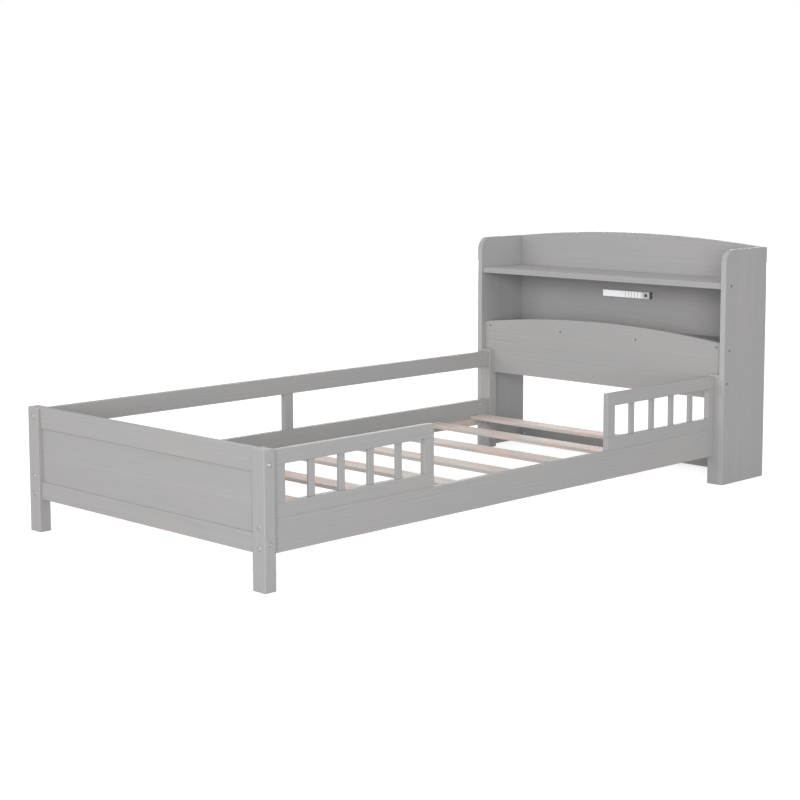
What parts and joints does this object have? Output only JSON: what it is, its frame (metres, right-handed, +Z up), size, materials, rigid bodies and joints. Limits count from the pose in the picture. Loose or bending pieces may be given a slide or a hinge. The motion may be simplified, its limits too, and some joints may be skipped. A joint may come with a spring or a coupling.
{
  "type": "toddler bed",
  "caption": "Low slatted bed for a young child, with side guards, a panelled footboard, and an arched headboard with open shelves and a battery light.",
  "frame": {"origin": "on the floor, in the middle of the bed's overall length and width", "axes": "+X across the bed to the entry side, +Y from the footboard to the headboard, +Z up"},
  "size_m": [1.112, 2.23, 0.818],
  "materials": {
    "painted_wood": "grey wash over pine, satin, grain showing",
    "bare_wood": "planed bare pine, matt",
    "dowel_wood": "fluted beech, matt",
    "zinc_steel": "zinc plated",
    "light_housing": "silver, satin",
    "light_lens": "frosted and clear, with shallow grooves",
    "light_board": "white circuit board",
    "light_battery": "wrapped cell",
    "light_button": "dark, matt"
  },
  "bodies": {
    "frame": {"foot_post_left": "painted_wood", "foot_post_right": "painted_wood", "foot_top_rail": "painted_wood", "foot_bottom_rail": "painted_wood", "foot_panel": "painted_wood", "side_rail_left": "painted_wood", "side_rail_right": "painted_wood", "foot_guard_top_rail": "painted_wood", "foot_guard_bottom_rail": "painted_wood", "foot_guard_joint_stile": "painted_wood", "foot_guard_free_stile": "painted_wood", "foot_guard_baluster_1": "painted_wood", "foot_guard_baluster_2": "painted_wood", "foot_guard_baluster_3": "painted_wood", "foot_guard_baluster_4": "painted_wood", "head_guard_top_rail": "painted_wood", "head_guard_bottom_rail": "painted_wood", "head_guard_joint_stile": "painted_wood", "head_guard_free_stile": "painted_wood", "head_guard_baluster_1": "painted_wood", "head_guard_baluster_2": "painted_wood", "head_guard_baluster_3": "painted_wood", "head_guard_baluster_4": "painted_wood", "wall_guard_rail": "painted_wood", "wall_guard_stile": "painted_wood", "head_side_left": "painted_wood", "head_side_right": "painted_wood", "head_leg_left": "painted_wood", "head_leg_right": "painted_wood", "front_board": "painted_wood", "lower_shelf": "painted_wood", "upper_shelf": "painted_wood", "back_panel": "painted_wood", "base_rail": "painted_wood", "slat_ledger_left": "bare_wood", "slat_ledger_right": "bare_wood", "slat_1": "bare_wood", "slat_2": "bare_wood", "slat_3": "bare_wood", "slat_4": "bare_wood", "slat_5": "bare_wood", "slat_6": "bare_wood", "slat_7": "bare_wood", "slat_8": "bare_wood", "light_screws": "zinc_steel", "rail_bolts": "zinc_steel", "footboard_bolts": "zinc_steel", "barrel_nuts": "zinc_steel", "headboard_screws": "zinc_steel", "slat_screws": "zinc_steel", "ledger_screws": "zinc_steel", "guard_screws": "zinc_steel", "cam_locks": "zinc_steel", "wood_dowels": "dowel_wood", "light_housing": "light_housing", "light_lens": "light_lens", "light_board": "light_board", "light_battery": "light_battery"},
    "button": {"light_button": "light_button"}
  },
  "joints": [
    {"name": "button_press", "type": "slide", "parent": "frame", "child": "button", "axis": [0, 1, 0], "range_m": [0, 0.001], "stiffness_N_per_m": 600, "springref_m": -0.0005}
  ]
}
